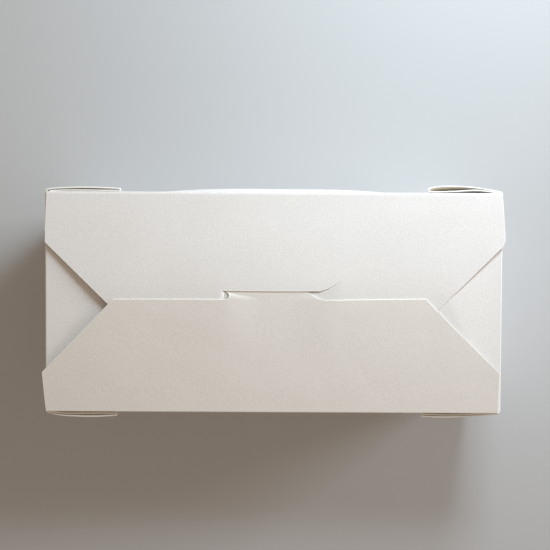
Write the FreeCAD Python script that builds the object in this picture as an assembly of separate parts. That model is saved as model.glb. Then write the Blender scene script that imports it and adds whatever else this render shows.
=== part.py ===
"""Takeout food box folded from one sheet of white paperboard, closed, standing on its base.

Millimetres. Z is up through the closure, X runs along the long walls and Y across them.
The origin is the middle of the base's underside. The back flap folds over from the wall
at +Y, the tab flap folds over it from the wall at -Y, and its tab sits in the back flap's slit.
The closed lid is a very flat roof: both flaps rise from their folds to a ridge at the slit.
"""

import FreeCAD, Part
import math
import os

# sheet and tray
board = 0.45
rim_length = 206.0
rim_width = 99.5
height = 48.0
lid_rise = 2.0
wall_lean = 10.5
base_fold_radius = 0.6

# bow of the long walls between the corner webs
back_bow = 5.2
front_bow = 3.0
foot = 1.2
bow_margin = 1.5
bow_depth = 0.2

# clearances between layers of the sheet
flap_clearance = 0.05
layer_gap = 0.1
fold_stub = 0.1
corner_relief = 0.8

# corner webs, each a double layer outside a long wall
web_reach = 33.5
web_bulge = 3.6
web_corner_share = 0.3
web_crest = 0.5
web_end_gap = 0.8
web_segments = 10
web_start = 0.03
web_hollow_start = 0.16

# dust flaps on the short walls
dust_reach = 46.0
dust_tip_width = 44.0
dust_shoulder = 5.0
dust_rise = 0.5
dust_corner_radius = 6.0

# back flap
back_reach = 56.0
back_side = 22.5
side_flare = 1.8
side_step = 1.0
step_length = 1.0
chamfer_angle = 45.0
flap_corner_radius = 1.0

# slit and lip in the back flap
slit_from_hinge = 44.4
slit_left = -24.8
slit_right = 20.5
slit_width = 0.3
slit_tail_run = 10.2
slit_tail_rise = 5.8
lip_depth = 8.9
lip_left_ramp = 2.2
lip_right_ramp = 3.0

# tab flap
tab_neck = 3.9
tab_flap_side = 18.5
neck_left = -20.5
neck_depth = 2.0
tab_left = -22.0
tab_right = 15.1
shoulder_right = 22.7
tab_inserted = 7.0

# levels and lines that follow from the values above
lean = math.radians(wall_lean)
back_fold_y = rim_width / 2 - board
back_fold_z = height - board
dust_fold_x = rim_length / 2 - board
dust_fold_z = height - 2 * board - layer_gap
tray_top = dust_fold_z - fold_stub
tab_axis_y = -(rim_width - board) / 2
tab_axis_z = height + flap_clearance + board / 2
slit_y = rim_width / 2 - slit_from_hinge
lip_raise = 2 * board + 2 * flap_clearance
tab_tip_y = slit_y + tab_inserted
back_slope = lid_rise / (back_fold_y - slit_y)
tab_slope = lid_rise / (slit_y - tab_axis_y)
ridge_z = height + lid_rise


def point(x, y, z=0.0):
    return FreeCAD.Vector(x, y, z)


def wall_inner_y(z):
    """Distance of a long wall's inner face from the middle plane where it is not bowed."""
    return back_fold_y - (back_fold_z - z) * math.tan(lean)


def wall_inner_x(z):
    """Distance of a short wall's inner face from the middle plane."""
    return dust_fold_x - (dust_fold_z - z) * math.tan(lean)


def frustum(grow, low, high):
    """Solid with four leaning flat sides: the tray's inner faces grown outwards by a thickness."""
    x_low, x_high = wall_inner_x(low) + grow, wall_inner_x(high) + grow
    y_low, y_high = wall_inner_y(low) + grow, wall_inner_y(high) + grow
    lying = Part.makeWedge(
        -x_low, low, -y_low, -y_high, -x_high, x_low, high, y_low, y_high, x_high
    )
    return lying.rotate(point(0, 0, 0), point(1, 0, 0), 90)


def bow_ring(share, grow, bow):
    """Flat ring round what a long wall's bow adds at a share of the wall's height.

    The bow reaches from web to web. It fades towards them as the square of one minus the
    distance's fourth power, and follows half a sine wave up the wall.
    """
    z = foot + (tray_top - foot) * share
    half = wall_inner_x(z) - web_reach * z / tray_top - bow_margin
    base = wall_inner_y(z) + grow
    swell = bow * math.sin(math.pi * share)
    places = [step / 4.0 for step in range(-4, 5)]
    line = [point(half * a, base + swell * (1 - a ** 4) ** 2, z) for a in places]
    curve = Part.BSplineCurve()
    curve.interpolate(line)
    behind = [point(side * half, base - bow_depth, z) for side in (1, -1)]
    return Part.Wire([
        curve.toShape(),
        Part.makeLine(line[-1], behind[0]),
        Part.makeLine(behind[0], behind[1]),
        Part.makeLine(behind[1], line[0]),
    ])


def bow_block(grow, bow):
    """Solid that adds the bow to the back wall, lofted through rings up the wall."""
    rings = [bow_ring(share, grow, bow) for share in (0.0, 0.25, 0.5, 0.75, 1.0)]
    return Part.makeLoft(rings, True, False)


def bowed_body(grow, low):
    """The frustum with both long sides bowed outwards."""
    body = frustum(grow, low, tray_top)
    if low == 0:
        base_edges = [e for e in body.Edges if e.BoundBox.ZMax < 0.01]
        body = body.makeFillet(base_fold_radius, base_edges)
    front = bow_block(grow, front_bow).mirror(point(0, 0, 0), point(0, 1, 0))
    return body.multiFuse([bow_block(grow, back_bow), front])


def tray():
    """Base and four walls: the outer body less the inner one."""
    return bowed_body(board / math.cos(lean), 0.0).cut(bowed_body(0.0, board))


def fold_profile(fold_out, fold_up, rise):
    """Section of a wall's top and its fold, in (outwards, up), about the fold's inner corner.

    The outer face climbs the wall from the tray's top, turns about the inner corner with the
    board's thickness as radius, and ends square to a flap that rises inwards by an angle.
    """
    drop = fold_up - tray_top
    wall = (math.cos(lean), -math.sin(lean))
    middle_angle = (math.pi / 2 - math.radians(rise) - lean) / 2
    flap_angle = math.pi / 2 - math.radians(rise)
    start = (fold_out + board / math.cos(lean) - drop * math.tan(lean), tray_top)
    tangent = (fold_out + board * wall[0], fold_up + board * wall[1])
    middle = (fold_out + board * math.cos(middle_angle), fold_up + board * math.sin(middle_angle))
    end = (fold_out + board * math.cos(flap_angle), fold_up + board * math.sin(flap_angle))
    inside = (fold_out - drop * math.tan(lean), tray_top)
    return start, tangent, middle, end, (fold_out, fold_up), inside


def fold_solid(profile, place, length):
    """The fold's section drawn by a placing function and drawn out along the rim."""
    start, tangent, middle, end, corner, inside = [place(p) for p in profile]
    edges = [
        Part.makeLine(start, tangent),
        Part.Arc(tangent, middle, end).toShape(),
        Part.makeLine(end, corner),
        Part.makeLine(corner, inside),
        Part.makeLine(inside, start),
    ]
    return Part.Face(Part.Wire(edges)).extrude(length)


def outline(corners):
    """Closed wire through (x, y, radius) corners, each rounded by its radius."""
    edges = []
    ends = []
    count = len(corners)
    for i, (x, y, radius) in enumerate(corners):
        here = point(x, y)
        back = point(*corners[i - 1][:2]) - here
        ahead = point(*corners[(i + 1) % count][:2]) - here
        back.normalize()
        ahead.normalize()
        if radius == 0:
            ends.append((here, here))
            continue
        half = back.getAngle(ahead) / 2
        run = radius / math.tan(half)
        bisector = back + ahead
        bisector.normalize()
        middle = here + bisector * (radius / math.sin(half) - radius)
        ends.append((here + back * run, here + ahead * run))
        edges.append(Part.Arc(ends[-1][0], middle, ends[-1][1]).toShape())
    for i in range(count):
        start, finish = ends[i][1], ends[(i + 1) % count][0]
        if start.distanceToPoint(finish) > 0.001:
            edges.append(Part.makeLine(start, finish))
    return Part.Wire(Part.__sortEdges__(edges))


def prism(wire, low, high):
    """The area inside a flat wire drawn upwards from one height to another."""
    face = Part.Face(wire)
    face.translate(point(0, 0, low))
    return face.extrude(point(0, 0, high - low))


def dust_flap():
    """Dust flap on the right short wall with its fold, rising a little to its tip."""
    half_hinge = rim_width / 2 - corner_relief - board
    half_tip = dust_tip_width / 2
    flat = outline([
        (0, -half_hinge, 0),
        (0, half_hinge, 0),
        (-dust_shoulder, half_hinge, 2.0),
        (-dust_reach, half_tip, dust_corner_radius),
        (-dust_reach, -half_tip, dust_corner_radius),
        (-dust_shoulder, -half_hinge, 2.0),
    ])
    flap = prism(flat, 0, board)
    flap.rotate(point(0, 0, 0), point(0, 1, 0), dust_rise)
    flap.translate(point(dust_fold_x, 0, dust_fold_z))
    profile = fold_profile(dust_fold_x, dust_fold_z, dust_rise)
    fold = fold_solid(profile, lambda p: point(p[0], -half_hinge, p[1]), point(0, 2 * half_hinge, 0))
    return flap.fuse(fold)


def chamfered_flap(hinge_y, reach, side, inward):
    """Outline of a main flap: straight sides that flare, a small step, then a slanting edge."""
    half_hinge = rim_length / 2 - corner_relief
    half_side = rim_length / 2 + side_flare
    half_step = half_side - side_step
    slant = math.tan(math.radians(chamfer_angle))
    step_y = side + step_length
    half_free = half_step - (reach - step_y) / slant
    right = [
        (half_hinge, 0, 0),
        (half_side, side, 0.6),
        (half_step, step_y, 0),
        (half_free, reach, flap_corner_radius),
    ]
    left = [(-x, y, r) for x, y, r in reversed(right)]
    return [(x, hinge_y + inward * y, r) for x, y, r in right + left]


def back_flap_top(y):
    """Height of the back flap's upper face between its fold and the slit."""
    return ridge_z - (y - slit_y) * back_slope


def lip():
    """The strip behind the slit, raised at the slit and level with the flap one lip depth on."""
    marks = [
        (slit_left, 0),
        (slit_left + lip_left_ramp, lip_raise),
        (slit_right - lip_right_ramp, lip_raise),
        (slit_right, 0),
    ]
    sections = []
    for y, share in ((slit_y, 1), (slit_y + lip_depth, 0)):
        low = [point(x, y, back_flap_top(y) - board + share * up) for x, up in marks]
        high = [p + point(0, 0, board) for p in reversed(low)]
        sections.append(Part.makePolygon(low + high + [low[0]]))
    return Part.makeLoft(sections, True, True)


def slit_tail():
    """The slit's curved end, a narrow cut that turns away from the free edge."""
    start = point(slit_right, slit_y - slit_width / 2)
    end = start + point(slit_tail_run, slit_tail_rise)
    sag = point(0.08, -0.14) * slit_tail_run
    middle = start + (end - start) * 0.5 + sag
    side = point(-0.5, 0.866) * slit_width / 2
    far = Part.Arc(start + side, middle + side, end + side).toShape()
    near = Part.Arc(start - side, middle - side, end - side).toShape()
    wire = Part.Wire([
        far,
        Part.makeLine(end + side, end - side),
        near,
        Part.makeLine(start - side, start + side),
    ])
    return prism(wire, height, ridge_z + board)


def strip_along_x(section):
    """A closed (y, z) section, all straight lines, drawn out past both ends of the box."""
    corners = [point(-rim_length, y, z) for y, z in section + section[:1]]
    return Part.Face(Part.makePolygon(corners)).extrude(point(2 * rim_length, 0, 0))


def back_flap():
    """Back flap with its fold, slit and lip, bent at the slit to run on under the tab flap."""
    half_hinge = rim_length / 2 - corner_relief
    profile = fold_profile(back_fold_y, back_fold_z, math.degrees(math.atan(back_slope)))
    fold = fold_solid(profile, lambda p: point(-half_hinge, p[0], p[1]), point(2 * half_hinge, 0, 0))
    fold_top, fold_corner = profile[3], profile[4]
    past_edge = back_fold_y - back_reach - 1.0
    edge_top = ridge_z - (slit_y - past_edge) * tab_slope
    strip = strip_along_x([
        fold_top,
        (slit_y, ridge_z),
        (past_edge, edge_top),
        (past_edge, edge_top - board),
        (slit_y, ridge_z - board),
        fold_corner,
    ])
    corners = chamfered_flap(back_fold_y, back_reach, back_side, -1)
    corners[0] = (half_hinge, fold_top[0] + board, 0)
    corners[-1] = (-half_hinge, fold_top[0] + board, 0)
    flap = strip.common(prism(outline(corners), 0, 2 * height))
    window = Part.makeBox(slit_right - slit_left, slit_width + lip_depth, 4 * board)
    window.translate(point(slit_left, slit_y - slit_width, ridge_z - 3 * board))
    return flap.cut(window).fuse(lip()).cut(slit_tail()).fuse(fold)


def front_wall_top():
    """Top of the front wall, carried on from the tray up to the tab flap's fold."""
    half_hinge = rim_length / 2 - corner_relief
    rise = height - tray_top
    outer = wall_inner_y(tray_top) + board / math.cos(lean)
    inner = wall_inner_y(tray_top)
    shift = rise * math.tan(lean)
    section = [(outer, tray_top), (outer + shift, height), (inner + shift, height), (inner, tray_top)]
    corners = [point(-half_hinge, -y, z) for y, z in section + section[:1]]
    return Part.Face(Part.makePolygon(corners)).extrude(point(2 * half_hinge, 0, 0))


def web_ring(shrink):
    """Corners round a right back web at the rim, shrunk by a thickness.

    The near side lies on the wall. The far side starts round the box's corner, bows away
    from the wall to a crest and comes back to it at the web's end. The outer ring has the
    round fold at that end. The hollow's ring ends flat, and starts one step in from the
    corner, where the two layers have parted.
    """
    corner_x = wall_inner_x(tray_top) + board / math.cos(lean)
    corner_y = wall_inner_y(tray_top) + board / math.cos(lean) - 0.02
    end_height = 2 * board + web_end_gap
    places = [step / float(web_segments) for step in range(web_segments + 1)]
    far = []
    for place in places:
        rise = 1 - (place / web_crest - 1) ** 2 if place < web_crest else 1
        fall = ((place - web_crest) / (1 - web_crest)) ** 2 if place > web_crest else 0
        start_height = web_corner_share * web_bulge
        height_here = start_height + (web_bulge - start_height) * rise
        height_here += (end_height - web_bulge) * fall
        far.append((shrink + (web_reach - end_height - shrink) * place, height_here - shrink))
    end_round = []
    if shrink > 0:
        far = far[1:]
    else:
        end_round = [
            (web_reach - end_height * 0.4, end_height * 0.85),
            (web_reach - end_height * 0.1, end_height * 0.5),
            (web_reach - end_height * 0.4, end_height * 0.15),
        ]
    ring = [(far[0][0], shrink)] + far + end_round + [(web_reach - end_height, shrink)]
    return [point(corner_x - along, corner_y + out, tray_top) for along, out in ring]


def cone(ring, apex, start):
    """Solid with flat sides from a ring down towards an apex, cut off a little short of it."""
    small = [apex + (corner - apex) * start for corner in ring]
    wires = [Part.makePolygon(r + r[:1]) for r in (small, ring)]
    return Part.makeLoft(wires, True, True)


def web():
    """Right back web: a flattened cone from the base corner to the rim, open at the rim."""
    outer = web_ring(0)
    base_corner = point(
        wall_inner_x(0) + board / math.cos(lean), wall_inner_y(0) + board / math.cos(lean) - 0.02, 0
    )
    middle = point(0, 0)
    for corner in outer:
        middle = middle + corner * (1.0 / len(outer))
    hollow_apex = base_corner + (middle - base_corner) * web_hollow_start
    return cone(outer, base_corner, web_start).cut(cone(web_ring(board), hollow_apex, 0.05))


def mirrored(shape, flip_x, flip_y):
    """A copy mirrored about the middle planes asked for."""
    if flip_x:
        shape = shape.mirror(point(0, 0, 0), point(1, 0, 0))
    if flip_y:
        shape = shape.mirror(point(0, 0, 0), point(0, 1, 0))
    return shape


def carton():
    """Everything of the sheet but the tab flap."""
    right_dust = dust_flap()
    right_web = web()
    pieces = [
        back_flap(),
        front_wall_top(),
        right_dust,
        mirrored(right_dust, True, False),
        right_web,
        mirrored(right_web, True, False),
        mirrored(right_web, False, True),
        mirrored(right_web, True, True),
    ]
    return tray().multiFuse(pieces).removeSplitter()


def tab_flap():
    """Front flap: a strip bent down behind the slit, trimmed to the outline of flap and tab."""
    angle = math.atan(tab_slope)
    dip = lip_raise / lip_depth + back_slope
    bend_y = slit_y - slit_width
    end_y = tab_tip_y + 1.0
    bend_low = height + lid_rise + flap_clearance - slit_width * tab_slope
    end_low = bend_low - (end_y - bend_y) * dip

    def rim(turn):
        reach = board / 2
        return tab_axis_y + reach * math.cos(angle + turn), tab_axis_z + reach * math.sin(angle + turn)

    top_start, low_start = rim(math.pi / 2), rim(-math.pi / 2)
    strip = strip_along_x([
        top_start,
        (bend_y, bend_low + board),
        (end_y, end_low + board),
        (end_y, end_low),
        (bend_y, bend_low),
        low_start,
    ])
    roll = Part.makeCylinder(
        board / 2, 2 * rim_length, point(-rim_length, tab_axis_y, tab_axis_z), point(1, 0, 0)
    )

    hinge_y = tab_axis_y - board
    corners = chamfered_flap(hinge_y, slit_y - tab_neck - hinge_y, tab_flap_side, 1)
    edge_y = corners[3][1]
    right_side, left_side = corners[:4], corners[4:]
    tab = [
        (shoulder_right, edge_y, 4.0),
        (tab_right, slit_y - slit_width, 3.0),
        (tab_right - 3.0, tab_tip_y, 2.0),
        (tab_left + 3.0, tab_tip_y, 2.0),
        (tab_left, slit_y + 1.0, 0.8),
        (neck_left, edge_y + neck_depth, 0.4),
        (neck_left - 0.6, edge_y, 0.2),
    ]
    return strip.fuse(roll).common(prism(outline(right_side + tab + left_side), 0, height * 2))


def main():
    os.makedirs("parts", exist_ok=True)
    for name, shape in (("carton", carton()), ("tab_flap", tab_flap())):
        shape.exportStep(os.path.join("parts", name + ".step"))
        print(name, shape.isValid(), len(shape.Solids), round(shape.Volume, 1), shape.BoundBox)


main()
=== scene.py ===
"""Looks of a closed takeout food box folded from white paperboard.

Lengths inside the mesh code are millimetres in the frame's own axes: the origin is the middle
of the base's underside, Z is up through the closure, X runs along the long walls, and the back
flap folds over from +Y. Each piece is a sheet without thickness until Solidify gives it one.
"""

import math
import bmesh
import bpy
import numpy as np
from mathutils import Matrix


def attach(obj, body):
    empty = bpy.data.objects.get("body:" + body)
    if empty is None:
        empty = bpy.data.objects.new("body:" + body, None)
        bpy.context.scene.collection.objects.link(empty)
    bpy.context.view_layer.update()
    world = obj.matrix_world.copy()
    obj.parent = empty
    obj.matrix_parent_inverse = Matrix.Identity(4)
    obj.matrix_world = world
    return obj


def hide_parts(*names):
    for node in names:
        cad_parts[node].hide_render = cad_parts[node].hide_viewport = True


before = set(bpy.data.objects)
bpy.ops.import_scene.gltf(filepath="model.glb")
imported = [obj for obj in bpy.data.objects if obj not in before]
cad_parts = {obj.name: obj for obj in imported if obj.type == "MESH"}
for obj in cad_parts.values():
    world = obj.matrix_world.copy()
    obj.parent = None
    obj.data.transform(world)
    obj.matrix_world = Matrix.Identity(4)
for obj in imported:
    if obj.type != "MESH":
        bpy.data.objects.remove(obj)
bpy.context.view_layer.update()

bl_info = {
    "name": "Takeout food box",
    "version": (1, 0, 0),
    "blender": (4, 5, 0),
    "location": "3D View > Sidebar > Takeout box",
    "description": "Builds a paperboard takeout box with corner webs and a hooked tab",
    "category": "Object",
}

MM = 0.001

# Lengths in millimetres that follow from the board or from how it folds. The sizes that a user
# may want to change are properties.
LAYER_GAP = 0.05  # air between two layers of the lid
RIM_PLAY = 0.1  # play of a fold at the rim below the one above it
BASE_MIDDLE = 0.225  # height of the middle of the base's board
BASE_FOLD = 0.6  # radius of the folds along the base
BASE_FOLD_TOP = 0.825  # height at which a short wall leaves its fold
BASE_INSET = 0.2  # a short wall's foot ends this far inside the long walls' feet
BASE_OVERLAP = 0.1  # how far the base reaches into the long walls' folds
RIM_INSET = 0.8  # a long wall's rim fold ends this far inside the rim's length
BOW_FOOT = 1.2  # a long wall bows only above this height
BOW_MARGIN = 1.5  # air between a long wall's bow and the corner webs
WAVE = 0.028  # height of each of the five waves in a sheet
EDGE_STRIP = 0.42  # width of the strip along a flap's cut edge over which its colour blends into the cut's paler colour, partly the board's core and partly a painted highlight
SOFT_EDGE = 0.10  # rounding of a cut edge
LID_SOFT_EDGE = 0.07  # rounding of a cut edge of the lid
WEB_BOARD = 0.48  # thickness of a web's layer, with the swelling of its cut edge
WEB_SOFT_EDGE = 0.05  # rounding of a web's cut edge
DUST_INSET = 0.65  # a dust flap's fold ends this far inside the rim's width
DUST_CORNER = 24.5  # half the width of a dust flap where the corners of its tip begin
DUST_TIP = 20.0  # half the width of a dust flap at its tip
TIP_CORNER = 3.0  # length of the cut corners of a dust flap's tip
DUST_SPRING = {1: 1.9, -1: -0.5}  # how far the right and the left dust flap leave their slope
SPRING_RUN = 32.0  # length over which they leave it
BACK_REACH = 56.0  # length of the back flap up to its hidden free edge
SLIT_Y = 5.35  # distance of the slit behind the middle of the box
SLIT_SAG = 0.12  # how far the slit's middle bends to the front
SLIT_OPENING = 0.12  # how wide the slit stands open
SLIT_LEVELS = 22.0  # beyond its tail, the slit's line is level again after this length
LOCK_SWELL = 0.42  # how far the lid swells up round the lock
LOCK_FADE = 38.0  # distance over which that swelling fades
LOCK_LEFT, LOCK_RIGHT = -56.0, 54.0  # where it has faded to nothing along the box
RIDGE_ROUNDING = 5.0  # how wide the lid's ridge is rounded
RIM_PIECE_GAP = 0.02  # air between the back wall's top and the middle of its fold
CEILING_GAP = 0.08  # air between a dust flap and the lid above it

# Factors on a colour.
SHADE = (0.955, 0.95, 0.94)  # dark mottle of the board
DULL = 0.97  # dark cloud of the floor
BRIGHT = 1.03  # pale mottle of the board, and pale cloud of the floor


class TakeoutBoxSizes(bpy.types.PropertyGroup):
    """Sizes of the folded box."""

    board: bpy.props.FloatProperty(
        name="Board", description="Thickness of the paperboard", default=0.00045, unit="LENGTH"
    )
    lid_sheet: bpy.props.FloatProperty(
        name="Lid sheet",
        description="Thickness of the pressed board of the lid",
        default=0.00033,
        unit="LENGTH",
    )
    rim_length: bpy.props.FloatProperty(
        name="Rim length", description="Length over the folds of the rim", default=0.206, unit="LENGTH"
    )
    rim_width: bpy.props.FloatProperty(
        name="Rim width", description="Width over the folds of the rim", default=0.0995, unit="LENGTH"
    )
    height: bpy.props.FloatProperty(
        name="Height", description="Height of the rim's folds above the base", default=0.048, unit="LENGTH"
    )
    wall_lean: bpy.props.FloatProperty(
        name="Wall lean",
        description="Outward lean of the walls",
        default=math.radians(10.5),
        subtype="ANGLE",
    )
    back_bow: bpy.props.FloatProperty(
        name="Back bow", description="Outward bow of the back wall", default=0.0052, unit="LENGTH"
    )
    front_bow: bpy.props.FloatProperty(
        name="Front bow", description="Outward bow of the front wall", default=0.003, unit="LENGTH"
    )
    lid_rise: bpy.props.FloatProperty(
        name="Lid rise", description="Height of the lid's ridge above the rim", default=0.002, unit="LENGTH"
    )
    web_reach: bpy.props.FloatProperty(
        name="Web reach", description="Length of a corner web at the rim", default=0.0335, unit="LENGTH"
    )
    dust_reach: bpy.props.FloatProperty(
        name="Dust flap reach", description="Length of a dust flap", default=0.046, unit="LENGTH"
    )
    dust_rise: bpy.props.FloatProperty(
        name="Dust flap rise",
        description="Upward slope of a dust flap to its tip",
        default=math.radians(0.5),
        subtype="ANGLE",
    )


class TakeoutBoxColours(bpy.types.PropertyGroup):
    """Colours of the board, of the floor, and of the board with painted shade on the front flap and painted
    light inside the webs.
    """

    board: bpy.props.FloatVectorProperty(
        name="Board",
        description="Colour of the board's face",
        default=(0.82, 0.785, 0.755),
        subtype="COLOR",
    )
    # Painted shade: a darker, warmer copy of the board's colour for the front flap, which is the same
    # board, standing for the shade it lies in.
    front: bpy.props.FloatVectorProperty(
        name="Front flap",
        description="Colour of the front flap's face",
        default=(0.795, 0.746, 0.693),
        subtype="COLOR",
    )
    # Painted light: paler than the board, so that the deep hollow inside each web looks lit.
    hollow_painted_light: bpy.props.FloatVectorProperty(
        name="Web hollow",
        description="Colour of the board inside a corner web",
        default=(0.95, 0.90, 0.80),
        subtype="COLOR",
    )
    # The cut edge's paler colour is partly the board's core and partly a painted highlight on the raised
    # edge.
    edge: bpy.props.FloatVectorProperty(
        name="Cut edge",
        description="Colour of the board's cut edge",
        default=(0.95, 0.93, 0.88),
        subtype="COLOR",
    )
    backdrop: bpy.props.FloatVectorProperty(
        name="Backdrop",
        description="Colour seen behind the floor",
        default=(0.56, 0.56, 0.56),
        subtype="COLOR",
    )
    floor: bpy.props.FloatVectorProperty(
        name="Floor",
        description="Colour of the floor",
        default=(0.52, 0.52, 0.52),
        subtype="COLOR",
    )


def sizes():
    """The scene's sizes of the box."""
    return bpy.context.scene.takeout_box_sizes


def colours():
    """The scene's colours of the board and of the stage."""
    return bpy.context.scene.takeout_box_colours


class Form:
    """The box's driving sizes in millimetres, and the lines and levels that follow from them."""

    def __init__(self):
        s = sizes()
        self.board = s.board / MM
        self.lid_sheet = s.lid_sheet / MM
        self.length = s.rim_length / MM
        self.width = s.rim_width / MM
        self.height = s.height / MM
        self.lean = s.wall_lean
        self.back_bow = s.back_bow / MM
        self.front_bow = s.front_bow / MM
        self.rise = s.lid_rise / MM
        self.web_reach = s.web_reach / MM
        self.dust_reach = s.dust_reach / MM
        self.dust_rise = s.dust_rise
        self.tray_top = self.height - 2 * self.board - 2 * RIM_PLAY
        self.layer = self.lid_sheet + LAYER_GAP
        self.rim_end = self.length / 2 - RIM_INSET
        self.fold_y = self.width / 2 - self.board
        self.fold_z = self.height - self.board
        self.dust_x = self.length / 2 - self.board
        self.dust_z = self.height - 2 * self.board - RIM_PLAY
        self.axis_y = -(self.width - self.board) / 2
        self.slit_y = SLIT_Y
        self.ridge_z = self.height + self.rise
        self.back_slope = self.rise / (self.fold_y - self.slit_y)
        self.tab_slope = self.rise / (self.slit_y - self.axis_y)

    def wall_y(self, z):
        """Middle of a long wall's board, away from the middle plane, where it is not bowed."""
        inner = self.fold_y - (self.fold_z - z) * math.tan(self.lean)
        return inner + self.board / 2 / math.cos(self.lean)

    def wall_x(self, z):
        """Middle of a short wall's board, away from the middle plane."""
        inner = self.dust_x - (self.dust_z - z) * math.tan(self.lean)
        return inner + self.board / 2 / math.cos(self.lean)


def smooth_step(a):
    """Rises from 0 to 1 with level ends: three times the square less twice the cube."""
    a = np.clip(a, 0.0, 1.0)
    return a * a * (3 - 2 * a)


def spread(*parts):
    """One rising row of numbers from (low, high, steps) parts that follow on."""
    rows = [np.linspace(low, high, steps, endpoint=False) for low, high, steps in parts]
    return np.concatenate(rows + [[parts[-1][1]]])


def straight_runs(places, knots):
    """Value at each place on the straight runs between (place, value) knots."""
    knots = sorted(knots)
    return np.interp(places, [k[0] for k in knots], [k[1] for k in knots])


def grid_faces(rows, columns):
    """The four corners of every cell of a grid of points, as rows of point numbers."""
    index = np.arange(rows * columns).reshape(rows, columns)
    corners = [index[:-1, :-1], index[:-1, 1:], index[1:, 1:], index[1:, :-1]]
    return np.stack(corners, axis=-1).reshape(-1, 4)


def curve_through(points, count):
    """Evenly spaced places on a smooth curve through points, by cubic pieces whose tangents are
    half the step between the neighbours of each point."""
    points = np.asarray(points, float)
    before = np.vstack([2 * points[0] - points[1], points[:-1]])
    after = np.vstack([points[1:], 2 * points[-1] - points[-2]])
    tangent = (after - before) / 2
    t = np.linspace(0, len(points) - 1, count * 8)
    i = np.minimum(t.astype(int), len(points) - 2)
    f = (t - i)[:, None]
    dense = (
        (2 * f**3 - 3 * f**2 + 1) * points[i]
        + (f**3 - 2 * f**2 + f) * tangent[i]
        + (3 * f**2 - 2 * f**3) * points[i + 1]
        + (f**3 - f**2) * tangent[i + 1]
    )
    run = np.concatenate([[0], np.cumsum(np.linalg.norm(np.diff(dense, axis=0), axis=1))])
    even = np.linspace(0, run[-1], count)
    return np.column_stack([np.interp(even, run, dense[:, k]) for k in range(points.shape[1])])


def board_unevenness(x, y, seed):
    """Gentle waves in a sheet of board, up to about a tenth of a millimetre: five sine waves
    whose directions, lengths and starts come from a seed."""
    rng = np.random.default_rng(seed)
    total = np.zeros_like(x)
    for _ in range(5):
        heading = rng.uniform(0, 2 * math.pi)
        pitch = rng.uniform(28, 75)
        start = rng.uniform(0, 2 * math.pi)
        total += np.sin((x * math.cos(heading) + y * math.sin(heading)) * 2 * math.pi / pitch + start)
    return total * WAVE


def sheet_piece(name, grids, material, thickness=None, bevel=SOFT_EDGE):
    """A mesh from grids of points, (rows, columns, 3) in millimetres, each with a grid of how
    much of a cut edge each point is, which the material paints paler, partly the board's core and
    partly a painted highlight; joined where their points meet and thickened to both sides."""
    points, edges, faces = [], [], []
    base = 0
    for grid, edge in grids:
        rows, columns = grid.shape[:2]
        points.append(grid.reshape(-1, 3))
        edges.append(edge.reshape(-1))
        faces.append(grid_faces(rows, columns) + base)
        base += rows * columns
    points = np.concatenate(points) * MM
    faces = np.concatenate(faces)
    mesh = bpy.data.meshes.new(name)
    mesh.from_pydata(points.tolist(), [], faces.tolist())
    layer = mesh.attributes.new("cut_edge_and_highlight", "FLOAT", "POINT")
    layer.data.foreach_set("value", np.concatenate(edges).astype(np.float32))
    work = bmesh.new()
    work.from_mesh(mesh)
    bmesh.ops.remove_doubles(work, verts=work.verts, dist=2e-6)
    bmesh.ops.dissolve_degenerate(work, edges=work.edges, dist=1e-7)
    for edge in work.edges:
        edge.smooth = not edge.is_boundary
    for face in work.faces:
        face.smooth = True
    work.to_mesh(mesh)
    work.free()
    mesh.materials.append(material)
    piece = bpy.data.objects.new(name, mesh)
    bpy.context.scene.collection.objects.link(piece)
    solid = piece.modifiers.new("Board", "SOLIDIFY")
    solid.thickness = (thickness or Form().board) * MM
    solid.offset = 0.0
    solid.use_even_offset = True
    soft = piece.modifiers.new("Soft edge", "BEVEL")
    soft.width = bevel * MM
    soft.segments = 2
    soft.limit_method = "ANGLE"
    soft.angle_limit = math.radians(60)
    return piece


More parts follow.
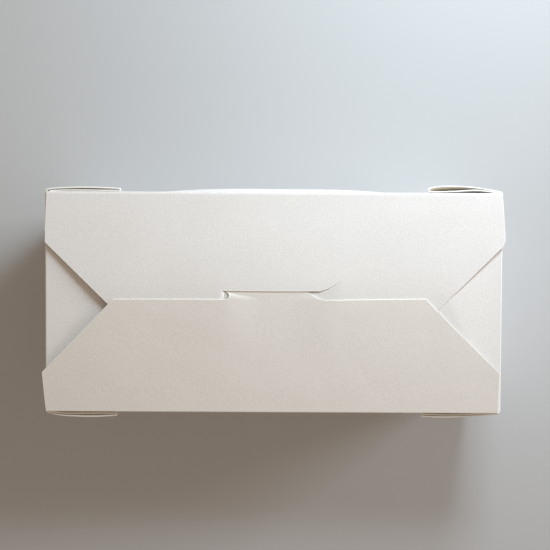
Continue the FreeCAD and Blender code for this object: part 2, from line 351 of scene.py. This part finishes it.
def paperboard_material(name="Paperboard", board=None):
    """White uncoated board: fine mottle and a broad cloudiness in its colour, mottle and fibres
    in its bump, and paler at the cut edge, partly the board's core and partly a painted highlight."""
    if name in bpy.data.materials:
        return bpy.data.materials[name]
    material = bpy.data.materials.new(name)
    material.use_nodes = True
    tree = material.node_tree
    tree.nodes.clear()
    add, join = tree.nodes.new, tree.links.new
    output = add("ShaderNodeOutputMaterial")
    shader = add("ShaderNodeBsdfPrincipled")
    join(shader.outputs["BSDF"], output.inputs["Surface"])
    shader.inputs["Roughness"].default_value = 0.72
    shader.inputs["Specular IOR Level"].default_value = 0.28

    where = add("ShaderNodeTexCoord")

    def noise(scale, detail, rough):
        node = add("ShaderNodeTexNoise")
        node.inputs["Scale"].default_value = scale
        node.inputs["Detail"].default_value = detail
        node.inputs["Roughness"].default_value = rough
        join(where.outputs["Object"], node.inputs["Vector"])
        return node

    mottle = noise(1200.0, 3.0, 0.6)
    cloud = noise(46.0, 3.0, 0.55)
    fibres = noise(2600.0, 2.0, 0.6)

    face = add("ShaderNodeMix")
    face.data_type = "RGBA"
    board = board or colours().board
    face.inputs["A"].default_value = (*(tone * shade for tone, shade in zip(board, SHADE)), 1)
    face.inputs["B"].default_value = (*(tone * BRIGHT for tone in board), 1)
    spot = add("ShaderNodeMapRange")
    spot.inputs["From Min"].default_value = 0.34
    spot.inputs["From Max"].default_value = 0.66
    join(mottle.outputs["Fac"], spot.inputs["Value"])
    join(spot.outputs["Result"], face.inputs["Factor"])

    broad = add("ShaderNodeMix")
    broad.data_type = "RGBA"
    broad.blend_type = "MULTIPLY"
    broad.inputs["B"].default_value = (*SHADE, 1)
    join(cloud.outputs["Fac"], broad.inputs["Factor"])
    join(face.outputs["Result"], broad.inputs["A"])

    # Paler cut edge from the mask: partly the board's core colour, partly a painted highlight.
    edge = add("ShaderNodeAttribute")
    edge.attribute_name = "cut_edge_and_highlight"
    final = add("ShaderNodeMix")
    final.data_type = "RGBA"
    final.inputs["B"].default_value = (*colours().edge, 1)
    join(edge.outputs["Fac"], final.inputs["Factor"])
    join(broad.outputs["Result"], final.inputs["A"])
    join(final.outputs["Result"], shader.inputs["Base Color"])

    fine = add("ShaderNodeBump")
    fine.inputs["Strength"].default_value = 0.16
    fine.inputs["Distance"].default_value = 0.00012
    join(fibres.outputs["Fac"], fine.inputs["Height"])
    coarse = add("ShaderNodeBump")
    coarse.inputs["Strength"].default_value = 0.16
    coarse.inputs["Distance"].default_value = 0.0004
    join(mottle.outputs["Fac"], coarse.inputs["Height"])
    join(fine.outputs["Normal"], coarse.inputs["Normal"])
    join(coarse.outputs["Normal"], shader.inputs["Normal"])
    return material


def floor_material():
    """Plain grey floor with a faint cloudiness."""
    material = bpy.data.materials.new("Floor")
    material.use_nodes = True
    tree = material.node_tree
    shader = tree.nodes["Principled BSDF"]
    shader.inputs["Roughness"].default_value = 0.8
    where = tree.nodes.new("ShaderNodeTexCoord")
    cloud = tree.nodes.new("ShaderNodeTexNoise")
    cloud.inputs["Scale"].default_value = 5.0
    mix = tree.nodes.new("ShaderNodeMix")
    mix.data_type = "RGBA"
    tone = colours().floor
    mix.inputs["A"].default_value = (*(c * DULL for c in tone), 1)
    mix.inputs["B"].default_value = (*(c * BRIGHT for c in tone), 1)
    tree.links.new(where.outputs["Object"], cloud.inputs["Vector"])
    tree.links.new(cloud.outputs["Fac"], mix.inputs["Factor"])
    tree.links.new(mix.outputs["Result"], shader.inputs["Base Color"])
    return material


def wall_bow(form, x, z, bow):
    """Outward bow of a long wall: half a sine wave up the wall, and along it one minus the
    fourth power of the distance, squared, between the corner webs."""
    up = np.clip((z - BOW_FOOT) / (form.tray_top - BOW_FOOT), 0, 1)
    half = form.wall_x(z) - form.web_reach * z / form.tray_top - BOW_MARGIN
    along = np.clip(np.abs(x) / half, 0, 1)
    return bow * np.sin(math.pi * up) * (1 - along**4) ** 2


def long_wall(form, side, bow):
    """Grid of a long wall from the base's fold to the rim. A row is a height, a column is a
    share of the length there, and the wall leans out and bows between the webs."""
    columns = spread((-1, -0.9, 6), (-0.9, 0.9, 90), (0.9, 1, 6))
    turn = np.linspace(-math.pi / 2, -form.lean, 7)[:-1, None]
    fold_x = columns * form.wall_x(BASE_FOLD)
    fold_y = form.wall_y(BASE_FOLD) - BASE_FOLD + BASE_FOLD * np.cos(turn)
    fold_z = np.maximum(BASE_FOLD + BASE_MIDDLE + BASE_FOLD * np.sin(turn), BASE_MIDDLE)
    z = np.linspace(BASE_FOLD, form.tray_top, 40)[:, None]
    x = columns * form.wall_x(z)
    wave = board_unevenness(x, 2 * z, 11 + side) * np.sin(math.pi * z / form.tray_top)
    y = form.wall_y(z) + wall_bow(form, x, z, bow) + wave
    fold = np.stack(np.broadcast_arrays(fold_x, side * fold_y, fold_z), axis=-1)
    wall = np.stack(np.broadcast_arrays(x, side * y, z), axis=-1)
    grid = np.concatenate([fold, wall])
    return grid if side < 0 else grid[:, ::-1]


def carried_to_rim(form, grid, side, top_z):
    """A long wall's grid with one more row, carried straight on at the wall's lean to a height."""
    rise = top_z - form.tray_top
    row = grid[-1] + np.array([0, side * rise * math.tan(form.lean), rise])
    row[:, 0] = np.clip(row[:, 0], -form.rim_end, form.rim_end)
    grid = np.concatenate([grid, row[None]])
    return grid, np.zeros(grid.shape[:2])


def dust_outline(form, run):
    """Half the width of a dust flap at a distance from its fold: full at first, then slanting to
    its tip, with cut corners."""
    hinge = form.width / 2 - DUST_INSET
    places = [0, 5.0, form.dust_reach - TIP_CORNER, form.dust_reach]
    return np.interp(run, places, [hinge, hinge - 0.6, DUST_CORNER, DUST_TIP])


def short_wall_strip(form):
    """Grid of the strip from one dust flap's tip over its wall, the base and the other wall to
    the other tip. A row is a place along the strip and a column a share of the width there. The
    flaps slope up from their folds, spring off that slope towards their tips, and stay below
    the lid."""
    rise, lean = form.dust_rise, form.lean
    near_tip = form.dust_reach - 4.0
    runs = spread((0.4, 6.0, 6), (6.0, near_tip, 26), (near_tip, form.dust_reach, 8))
    fold_radius = form.board / 2 + RIM_PLAY
    centre_x, centre_z = form.dust_x - RIM_PLAY, form.dust_z - RIM_PLAY
    flap_x = centre_x + fold_radius * math.sin(rise) - runs * math.cos(rise)
    flap_z = centre_z + fold_radius * math.cos(rise) + runs * math.sin(rise)
    spring = smooth_step((runs + 4.0) / SPRING_RUN)
    spring -= spring[0]
    flap_half = dust_outline(form, runs)
    turn = np.linspace(math.pi / 2 - rise, -lean, 9)
    fold_x = centre_x + fold_radius * np.cos(turn)
    fold_z = centre_z + fold_radius * np.sin(turn)
    fold_half = np.linspace(form.width / 2 - DUST_INSET, form.width / 2 - 0.4, 9)
    heights = np.linspace(fold_z[-1] - 0.4, BASE_FOLD_TOP, 26)
    foot_half = form.wall_y(BASE_FOLD_TOP)
    base_turn = np.linspace(-lean, -math.pi / 2, 7)
    corner_x = form.wall_x(BASE_FOLD_TOP) - BASE_FOLD * math.cos(lean)
    base_x = corner_x + BASE_FOLD * np.cos(base_turn)
    base_z = BASE_MIDDLE + BASE_FOLD + BASE_FOLD * np.sin(base_turn)
    base_half = np.full_like(base_x, foot_half - BASE_INSET)
    floor_x = np.linspace(corner_x, 0, 40)[1:]
    floor_z = np.full_like(floor_x, BASE_MIDDLE)
    floor_half = np.full_like(floor_x, foot_half - BASE_FOLD + BASE_OVERLAP)

    x = np.concatenate([flap_x[::-1], fold_x, form.wall_x(heights), base_x, floor_x])[:, None]
    z = np.concatenate([flap_z[::-1], fold_z, heights, base_z, floor_z])[:, None]
    wall_half = form.wall_y(heights)
    half = np.concatenate([flap_half[::-1], fold_half, wall_half, base_half, floor_half])[:, None]
    rest = np.zeros(len(x) - len(runs))
    on_flap = np.concatenate([np.ones(len(runs)), rest])[:, None]
    to_fold = np.concatenate([np.linspace(1, 0, len(runs)), rest])[:, None]
    sprung = np.concatenate([spring[::-1], rest])[:, None]
    columns = np.array([-1, -0.99, *np.linspace(-0.96, 0.96, 49), 0.99, 1])
    y = half * columns
    ceiling = roof(form, y) - form.lid_sheet / 2 - form.board / 2 - CEILING_GAP
    edge = on_flap * (np.abs(columns) == 1)
    edge[0] = 1.0
    halves = []
    for side in (1, -1):
        wave = board_unevenness(y, x + 0 * y, 31 + side)
        height = np.minimum(z + DUST_SPRING[side] * sprung + wave * to_fold, ceiling)
        grid = np.stack([side * x + 0 * y, y, height], axis=-1)
        halves.append((grid if side > 0 else grid[:, ::-1], edge))
    return halves


class TAKEOUT_OT_tray(bpy.types.Operator):
    """Base, the two short walls, the front wall and the two dust flaps"""

    bl_idname = "takeout.tray"
    bl_label = "Tray and dust flaps"

    def execute(self, context):
        form = Form()
        board = paperboard_material()
        strip = sheet_piece("base_short_walls_dust_flaps", short_wall_strip(form), board)
        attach(strip, "carton")
        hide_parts("carton")
        wall = carried_to_rim(form, long_wall(form, -1, form.front_bow), -1, form.height)
        front = sheet_piece("front_wall", [wall], board)
        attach(front, "carton")
        return {"FINISHED"}


def web_line(far, near):
    """The web's line at the rim, as (along the wall, away from the wall): from the corner out
    along the far layer to the round end, and back along the near layer."""
    reach, tip = far[-1]
    low = near[0][1]
    middle, half = (tip + low) / 2, (tip - low) / 2
    shoulder, turn = reach + half * 0.75, half * 0.6
    end = [(shoulder, middle + turn), (reach + half, middle), (shoulder, middle - turn)]
    return curve_through([*far, *end, *near], WEB_COLUMNS)


def corner_web(form, side_x, side_y, far, near):
    """Grid of a doubled web: its line at the rim drawn down in straight lines to the base's
    corner. A row is a share of the height and a column a place along the line."""
    line = web_line(far, near)
    shares = np.concatenate([np.linspace(0.02, 0.9, 30), np.linspace(0.93, 1.0, 5)])
    thin = form.board / 2 / math.cos(form.lean)
    corner_top = np.array([form.wall_x(form.tray_top), form.wall_y(form.tray_top)]) + thin
    corner_low = np.array([form.wall_x(0.0), form.wall_y(0.0)]) + thin
    rim = np.column_stack([corner_top[0] - line[:, 0], corner_top[1] + line[:, 1]])
    flat = corner_low[None, None] + shares[:, None, None] * (rim - corner_low)[None]
    z = np.broadcast_to((shares * form.tray_top)[:, None], flat.shape[:2])
    grid = np.stack([side_x * flat[..., 0], side_y * flat[..., 1], z], axis=-1)
    edge = np.zeros(grid.shape[:2])
    edge[-1] = 1.0
    flipped = side_x * side_y < 0
    return (grid[:, ::-1] if flipped else grid, edge)


WEB_COLUMNS = 130  # number of places along a web's line
# Each web's name, its side along X and Y, and the lines of its far and near layer at the rim, as
# (distance from the corner along the wall, distance from the wall).
WEBS = (
    (
        "web_back_left", -1, 1,
        (
            (0.25, 0.0), (0.5, 0.7), (1.7, 1.15), (6.0, 1.6), (13.0, 1.9), (19.0, 2.0), (26.0, 1.85),
            (33.4, 1.45),
        ),
        ((33.4, 0.6), (27.0, 0.62), (15.0, 0.68), (7.0, 0.6), (2.0, 0.3)),
    ),
    (
        "web_back_right", 1, 1,
        (
            (0.25, 0.0), (0.7, 0.5), (3.0, 1.1), (8.0, 2.0), (14.0, 2.8), (20.0, 3.15), (26.0, 3.15),
            (30.5, 2.8), (33.0, 2.2),
        ),
        ((33.0, 0.75), (28.0, 0.7), (20.0, 1.05), (13.0, 1.5), (8.0, 1.2), (3.0, 0.45), (1.5, 0.28)),
    ),
    (
        "web_front_left", -1, -1,
        (
            (0.25, 0.0), (0.6, 0.45), (3.5, 1.4), (8.0, 2.1), (13.0, 2.35), (19.0, 2.5), (25.0, 2.4),
            (31.7, 1.95),
        ),
        ((31.7, 1.1), (25.0, 1.05), (15.0, 1.15), (8.0, 1.1), (4.0, 0.7), (2.0, 0.3)),
    ),
    (
        "web_front_right", 1, -1,
        (
            (0.25, 0.0), (0.6, 0.3), (4.0, 0.7), (9.0, 1.15), (15.0, 1.6), (22.0, 1.95), (28.0, 2.0),
            (35.2, 1.7),
        ),
        ((35.2, 0.85), (28.0, 1.05), (20.0, 1.05), (13.0, 0.75), (7.0, 0.4), (2.0, 0.26)),
    ),
)


class TAKEOUT_OT_webs(bpy.types.Operator):
    """The four doubled corner webs on the long walls, paler on the board's inner side: painted light in
    their hollows
    """

    bl_idname = "takeout.webs"
    bl_label = "Corner webs"

    def execute(self, context):
        form = Form()
        board = paperboard_material()
        # The webs' inner side is paler than the board: painted light in their hollows.
        hollow_painted_light = paperboard_material("Paperboard inside painted light", colours().hollow_painted_light)
        for name, side_x, side_y, far, near in WEBS:
            grid = corner_web(form, side_x, side_y, far, near)
            web = sheet_piece(name, [grid], board, WEB_BOARD, WEB_SOFT_EDGE)
            web.data.materials.append(hollow_painted_light)
            web.modifiers["Board"].material_offset = 1
            web.modifiers["Board"].material_offset_rim = 0
            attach(web, "carton")
        return {"FINISHED"}


# Edges of the two flaps of the lid, as (distance across the box, distance along it).
BACK_LEFT = (
    (49.75, -102.2), (46.5, -102.35), (33.4, -102.75), (33.1, -103.15), (32.7, -103.15), (32.4, -102.75),
    (26.95, -102.85), (26.35, -102.35), (-0.46, -74.93), (-6.9, -68.4),
)
BACK_RIGHT = (
    (49.75, 102.5), (46.0, 103.1), (28.4, 104.2), (27.9, 104.0), (26.75, 103.3), (26.4, 103.75),
    (-3.31, 73.62), (-6.9, 70.0),
)
TAB_LEFT = (
    (-49.9, -102.6), (-45.0, -103.2), (-31.75, -104.4), (-31.2, -103.8), (-19.3, -92.3), (-19.0, -92.45),
    (-18.6, -92.05), (-18.3, -91.3), (0.9, -72.9), (1.6, -72.1),
)
TAB_RIGHT = (
    (-49.9, 101.6), (-45.0, 101.9), (-32.3, 102.4), (-31.5, 102.2), (-14.9, 84.9), (-14.6, 85.05),
    (-14.2, 84.2), (-4.95, 75.0), (-4.6, 75.2), (-4.3, 74.2), (1.5, 68.6), (2.2, 67.3),
)

# The slit runs level along X from its left end, and then up along its tail: (along, across).
SLIT_TAIL = ((20.9, 0.0), (24.46, 1.15), (28.03, 3.3), (31.03, 5.7))
SLIT_LEFT, SLIT_RIGHT, SLIT_END = -23.2, SLIT_TAIL[0][0], SLIT_TAIL[-1][0]


def slit_line(form, x):
    """Distance across the box of the slit at each x: level with a sag of half a sine wave, then
    rising along its tail, and back to level beyond it, where the sheet isn't cut."""
    tail = straight_runs(x, SLIT_TAIL)
    after = np.where(x > SLIT_END, smooth_step(1 - (x - SLIT_END) / SLIT_LEVELS), 1.0)
    share = np.clip((x - SLIT_LEFT) / (SLIT_RIGHT - SLIT_LEFT), 0, 1)
    return form.slit_y + tail * after - SLIT_SAG * np.sin(math.pi * share)


def lid_swell(x, across):
    """How far the lid swells up round the lock: most over the slit, fading to nothing along the
    slit and on both sides of it."""
    along = smooth_step((x - LOCK_LEFT) / LOCK_FADE) * smooth_step((LOCK_RIGHT - x) / LOCK_FADE)
    return LOCK_SWELL * along * (1 - smooth_step(np.abs(across) / LOCK_FADE))


def slit_sink(form, x, ahead, left_run, right_run, depth_run):
    """How far a sheet in front of the slit sinks, so that the tab goes under the lip: two
    boards and their gaps at the slit, nothing at the slit's ends and a run of millimetres
    ahead of it."""
    left = smooth_step((x - SLIT_LEFT) / left_run)
    right = smooth_step((SLIT_END - x) / right_run)
    return 2 * form.layer * left * right * (1 - smooth_step(ahead / depth_run))


def lid_columns(y_rows, left_knots, right_knots, inner):
    """Grid of x: fixed columns in the middle, and outer ones stretched to the flap's edges, with
    a last narrow column for the cut edge."""
    left = straight_runs(y_rows, left_knots)[:, None]
    right = straight_runs(y_rows, right_knots)[:, None]
    share = np.concatenate([np.linspace(0, 0.93, 22), [0.965, 0.985]])
    low, high = inner[0], inner[-1]
    left_part = left + EDGE_STRIP + (low - left - EDGE_STRIP) * (1 - share[::-1])
    right_part = high + (right - EDGE_STRIP - high) * share
    middle = np.broadcast_to(inner, (len(y_rows), len(inner)))
    return np.concatenate([
        left, left + EDGE_STRIP, left_part[:, :-1], middle,
        right_part[:, 1:], right - EDGE_STRIP, right,
    ], axis=1)


def side_edges(shape):
    """Grid of the paler cut edge with its painted highlight, with its two outer columns marked."""
    edge = np.zeros(shape)
    edge[:, 0] = 1.0
    edge[:, -1] = 1.0
    return edge


def roof(form, y):
    """Height of the middle of the back flap's board: two slopes that meet at the slit, rounded
    where they meet into a hyperbola."""
    across = y - form.slit_y
    lean = (form.back_slope - form.tab_slope) / 2
    fall = (form.back_slope + form.tab_slope) / 2
    return form.ridge_z - form.lid_sheet / 2 - lean * across - fall * np.sqrt(across**2 + RIDGE_ROUNDING**2)


def back_flap_grids(form):
    """The back flap from its fold to the slit as one grid, and from the slit to its free edge as
    another. They share their points where the sheet isn't cut."""
    inner = spread(
        (-64, SLIT_LEFT, 28), (SLIT_LEFT, SLIT_LEFT + 2.0, 8), (SLIT_LEFT + 2.0, SLIT_RIGHT, 34),
        (SLIT_RIGHT, SLIT_END, 12), (SLIT_END, 64, 21),
    )
    shares = np.append(spread((0, 0.36, 16), (0.36, 0.55, 40), (0.55, 0.8, 10), (0.8, 0.988, 15)), 1.0)
    nominal_y = form.fold_y + (form.slit_y - form.fold_y) * shares
    x = lid_columns(nominal_y, BACK_LEFT, BACK_RIGHT, inner)
    slit = slit_line(form, x)
    y = form.fold_y + (slit - form.fold_y) * shares[:, None]
    behind = y - slit
    wave = board_unevenness(x, y, 5) * smooth_step((form.fold_y - y) / 12) * smooth_step(behind / 9)
    far = np.stack([x, y, roof(form, y) + lid_swell(x, behind) + wave], axis=-1)
    far_edge = side_edges(x.shape)
    far_edge[-1, (x[-1] > SLIT_LEFT) & (x[-1] < SLIT_END)] = 1.0

    free_y = form.fold_y - BACK_REACH
    near_shares = np.concatenate([[0.0, 0.04], np.linspace(0.1, 0.96, 12), [1.0]])
    nominal_y = form.slit_y + (free_y - form.slit_y) * near_shares
    x = lid_columns(nominal_y, BACK_LEFT, BACK_RIGHT, inner)
    slit = slit_line(form, x)
    y = slit * (1 - near_shares)[:, None] + free_y * near_shares[:, None]
    ahead = slit - y
    moved = lid_swell(x, ahead) - slit_sink(form, x, ahead, 1.2, 14.5, 42.0)
    near = np.stack([x, y, roof(form, y) + moved], axis=-1)
    inside = smooth_step(x[0] - SLIT_LEFT) * smooth_step(SLIT_END - x[0])
    near[0, :, 1] -= SLIT_OPENING * inside
    near_edge = side_edges(x.shape)
    near_edge[-1] = 1.0

    turn = np.linspace(-form.lean, math.pi / 2 - math.atan(form.back_slope), 8)[:-1, None]
    fold_x = np.clip(far[0, :, 0], -form.rim_end, form.rim_end)
    fold_y = form.fold_y + form.board / 2 * np.cos(turn)
    fold_z = form.fold_z + form.board / 2 * np.sin(turn)
    fold = np.stack(np.broadcast_arrays(fold_x, fold_y, fold_z), axis=-1)
    far = np.concatenate([fold, far])
    far_edge = np.concatenate([np.zeros(fold.shape[:2]), far_edge])
    return [(far, far_edge), (near, near_edge)]


class TAKEOUT_OT_back_flap(bpy.types.Operator):
    """The back wall and the back flap with its slit and raised lip"""

    bl_idname = "takeout.back_flap"
    bl_label = "Back wall and flap"

    def execute(self, context):
        form = Form()
        board = paperboard_material()
        grid = carried_to_rim(form, long_wall(form, 1, form.back_bow), 1, form.fold_z - RIM_PIECE_GAP)
        wall = sheet_piece("back_wall", [grid], board)
        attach(wall, "carton")
        flap = sheet_piece("back_flap", back_flap_grids(form), board, form.lid_sheet, LID_SOFT_EDGE)
        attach(flap, "carton")
        return {"FINISHED"}


# The front flap's free edge, as (along the box, across it), and where the tab leaves it.
TAB_EDGE = (
    (-72.5, 1.42), (-21.0, 1.6), (23.15, 1.33), (30.0, 1.45), (30.3, 1.1), (30.8, 1.1), (31.1, 1.5),
    (67.6, 2.1),
)
TAB_START, TAB_END = -20.9, 23.15
# The tab's hook on its left and its shoulder on its right: (distance beyond that edge, along).
TAB_HOOK = (
    (0.0, -20.9), (0.7, -20.35), (1.5, -20.0), (2.2, -20.05), (3.0, -20.9), (3.6, -21.6), (4.6, -22.0),
    (7.0, -21.6), (9.2, -20.0), (10.4, -17.0),
)
TAB_SHOULDER = (
    (0.0, 23.15), (0.25, 21.6), (0.6, 20.7), (1.3, 19.2), (2.0, 18.1), (3.4, 15.6), (5.0, 14.9),
    (7.5, 14.0), (9.4, 12.0), (10.4, 9.0),
)


def tab_height(form, x, y):
    """Height of the middle of the tab flap's board: a straight rise from its hinge that swells
    and sinks with the sheet below it, and behind the slit it runs close under the lip."""
    ahead = slit_line(form, x) - y
    front = np.clip(ahead, 0, None)
    widen = smooth_step(front / 4.0)
    sink = slit_sink(form, x, front, 1.2 + 17.0 * widen, 14.5 + 9.0 * widen, 40.0)
    layer = np.where(ahead > 0, form.layer - sink, -form.layer)
    return roof(form, y) + lid_swell(x, ahead) + layer


def tab_flap_grids(form):
    """The front flap from its hinge to its free edge as one grid, and the tab as another."""
    inner = spread((-60, TAB_START, 26), (TAB_START, TAB_END, 40), (TAB_END, 56, 59))
    runs = spread(
        (0, 0.34, 16), (0.34, 0.38, 6), (0.38, 0.57, 8), (0.57, 0.7, 44), (0.7, 0.86, 8),
        (0.86, 0.91, 16), (0.91, 0.991, 4),
    )
    shares = np.append(runs, 1.0)
    nominal_y = form.axis_y + (1.6 - form.axis_y) * shares
    x = lid_columns(nominal_y, TAB_LEFT, TAB_RIGHT, inner)
    y = form.axis_y + (straight_runs(x, TAB_EDGE) - form.axis_y) * shares[:, None]
    wave = board_unevenness(x, y, 8) * smooth_step((y - form.axis_y) / 12) * smooth_step((1.3 - y) / 8)
    sheet = np.stack([x, y, tab_height(form, x, y) + np.abs(wave)], axis=-1)
    edge = side_edges(x.shape)
    edge[-1] = 1.0
    edge[-1, (x[-1] > TAB_START) & (x[-1] < TAB_END)] = 0.0

    base = inner[(inner >= TAB_START - 1e-9) & (inner <= TAB_END + 1e-9)]
    share_x = (base - base[0]) / (base[-1] - base[0])
    start = np.argmin(np.abs(x[-1] - base[0]))
    first = sheet[-1, start:start + len(base)]
    ahead = np.concatenate([np.linspace(0, 4.2, 22), np.linspace(4.5, 10.4, 16)])[:, None]
    left = straight_runs(ahead, TAB_HOOK)
    right = straight_runs(ahead, TAB_SHOULDER)
    tab_x = left + (right - left) * share_x
    tab_y = first[:, 1] + ahead
    tab = np.stack([tab_x, tab_y, tab_height(form, tab_x, tab_y)], axis=-1)
    tab[0] = first
    return [(sheet, edge), (tab, side_edges(tab_x.shape))]


class TAKEOUT_OT_tab_flap(bpy.types.Operator):
    """The front flap with its hooked tab"""

    bl_idname = "takeout.tab_flap"
    bl_label = "Tab flap"

    def execute(self, context):
        form = Form()
        # The front flap gets a darker, warmer copy of the board's colour: painted shade.
        board = paperboard_material("Paperboard front painted shade", colours().front)
        grids = tab_flap_grids(form)
        flap = sheet_piece("front_flap_with_tab", grids, board, form.lid_sheet, LID_SOFT_EDGE)
        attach(flap, "tab_flap")
        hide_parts("tab_flap")
        return {"FINISHED"}


# Each lamp's name, place, side, watts and tint. All of them face the middle of the rim.
LAMPS = (
    ("Key", (0.14, 0.29, 0.26), 0.14, 1.46, (0.74, 0.89, 1.0)),
    ("Side", (1.05, 0.42, 0.28), 0.35, 8.8, (0.90, 0.93, 1.0)),
    ("Fill", (-0.25, -1.16, 0.14), 0.80, 2.5, (1.0, 0.89, 0.74)),
)
LAMP_TARGET = (0.0, 0.0, 0.05)
AMBIENT_TINT, AMBIENT_STRENGTH = (1.0, 0.82, 0.66), 0.36
FLOOR_LEVEL = -0.0002
CAMERA_PLACE = (0.00113, 0.04452, 0.69754)
CAMERA_TURN = (math.radians(-2.823), math.radians(0.059), math.radians(0.29))
CAMERA_LENS = 94.5


def area_lamp(name, place, side, watts, tint):
    """A square lamp that faces the middle of the rim."""
    data = bpy.data.lights.new(name, "AREA")
    data.shape = "SQUARE"
    data.size = side
    data.energy = watts
    data.color = tint
    lamp = bpy.data.objects.new(name, data)
    bpy.context.scene.collection.objects.link(lamp)
    lamp.location = place
    lamp.visible_camera = False
    heading = np.array(LAMP_TARGET) - np.array(place)
    yaw = math.atan2(heading[1], heading[0])
    flat = math.hypot(heading[0], heading[1])
    lamp.rotation_euler = (math.atan2(flat, -heading[2]), 0, yaw - math.pi / 2)


class TAKEOUT_OT_stage(bpy.types.Operator):
    """Floor, studio light and the photograph's camera"""

    bl_idname = "takeout.stage"
    bl_label = "Stage"

    def execute(self, context):
        scene = context.scene
        scene.view_settings.view_transform = "Standard"

        side = np.linspace(-2.5, 2.5, 21)
        x, y = np.meshgrid(side, side)
        mesh = bpy.data.meshes.new("floor")
        points = np.column_stack([x.ravel(), y.ravel(), np.full(x.size, FLOOR_LEVEL)])
        mesh.from_pydata(points.tolist(), [], grid_faces(*x.shape).tolist())
        mesh.materials.append(floor_material())
        floor = bpy.data.objects.new("floor", mesh)
        scene.collection.objects.link(floor)

        world = scene.world or bpy.data.worlds.new("World")
        scene.world = world
        world.use_nodes = True
        tree = world.node_tree
        tree.nodes.clear()
        ambient = tree.nodes.new("ShaderNodeBackground")
        ambient.inputs["Color"].default_value = (*AMBIENT_TINT, 1)
        ambient.inputs["Strength"].default_value = AMBIENT_STRENGTH
        backdrop = tree.nodes.new("ShaderNodeBackground")
        backdrop.inputs["Color"].default_value = (*colours().backdrop, 1)
        path = tree.nodes.new("ShaderNodeLightPath")
        mix = tree.nodes.new("ShaderNodeMixShader")
        output = tree.nodes.new("ShaderNodeOutputWorld")
        tree.links.new(path.outputs["Is Camera Ray"], mix.inputs["Fac"])
        tree.links.new(ambient.outputs["Background"], mix.inputs[1])
        tree.links.new(backdrop.outputs["Background"], mix.inputs[2])
        tree.links.new(mix.outputs["Shader"], output.inputs["Surface"])

        for lamp in LAMPS:
            area_lamp(*lamp)

        data = bpy.data.cameras.new("Camera")
        data.lens = CAMERA_LENS
        data.sensor_width = 36.0
        data.sensor_fit = "HORIZONTAL"
        data.clip_start = 0.01
        camera = bpy.data.objects.new("Camera", data)
        scene.collection.objects.link(camera)
        camera.location = CAMERA_PLACE
        camera.rotation_euler = CAMERA_TURN
        scene.camera = camera
        return {"FINISHED"}


OPERATORS = (TAKEOUT_OT_tray, TAKEOUT_OT_webs, TAKEOUT_OT_back_flap, TAKEOUT_OT_tab_flap, TAKEOUT_OT_stage)


class TAKEOUT_PT_box(bpy.types.Panel):
    """Sizes, colours and building steps of the box"""

    bl_idname = "TAKEOUT_PT_box"
    bl_label = "Takeout box"
    bl_space_type = "VIEW_3D"
    bl_region_type = "UI"
    bl_category = "Takeout box"

    def draw(self, context):
        for group in (context.scene.takeout_box_sizes, context.scene.takeout_box_colours):
            box = self.layout.box()
            for key in group.__annotations__:
                box.prop(group, key)
        for operator in OPERATORS:
            self.layout.operator(operator.bl_idname)


CLASSES = (TakeoutBoxSizes, TakeoutBoxColours, *OPERATORS, TAKEOUT_PT_box)


def register():
    for cls in CLASSES:
        bpy.utils.register_class(cls)
    bpy.types.Scene.takeout_box_sizes = bpy.props.PointerProperty(type=TakeoutBoxSizes)
    bpy.types.Scene.takeout_box_colours = bpy.props.PointerProperty(type=TakeoutBoxColours)


def unregister():
    del bpy.types.Scene.takeout_box_colours
    del bpy.types.Scene.takeout_box_sizes
    for cls in reversed(CLASSES):
        bpy.utils.unregister_class(cls)


def main():
    """Builds the box and its stage."""
    register()
    bpy.ops.takeout.tray()
    bpy.ops.takeout.webs()
    bpy.ops.takeout.back_flap()
    bpy.ops.takeout.tab_flap()
    bpy.ops.takeout.stage()


if __name__ == "__main__":
    main()
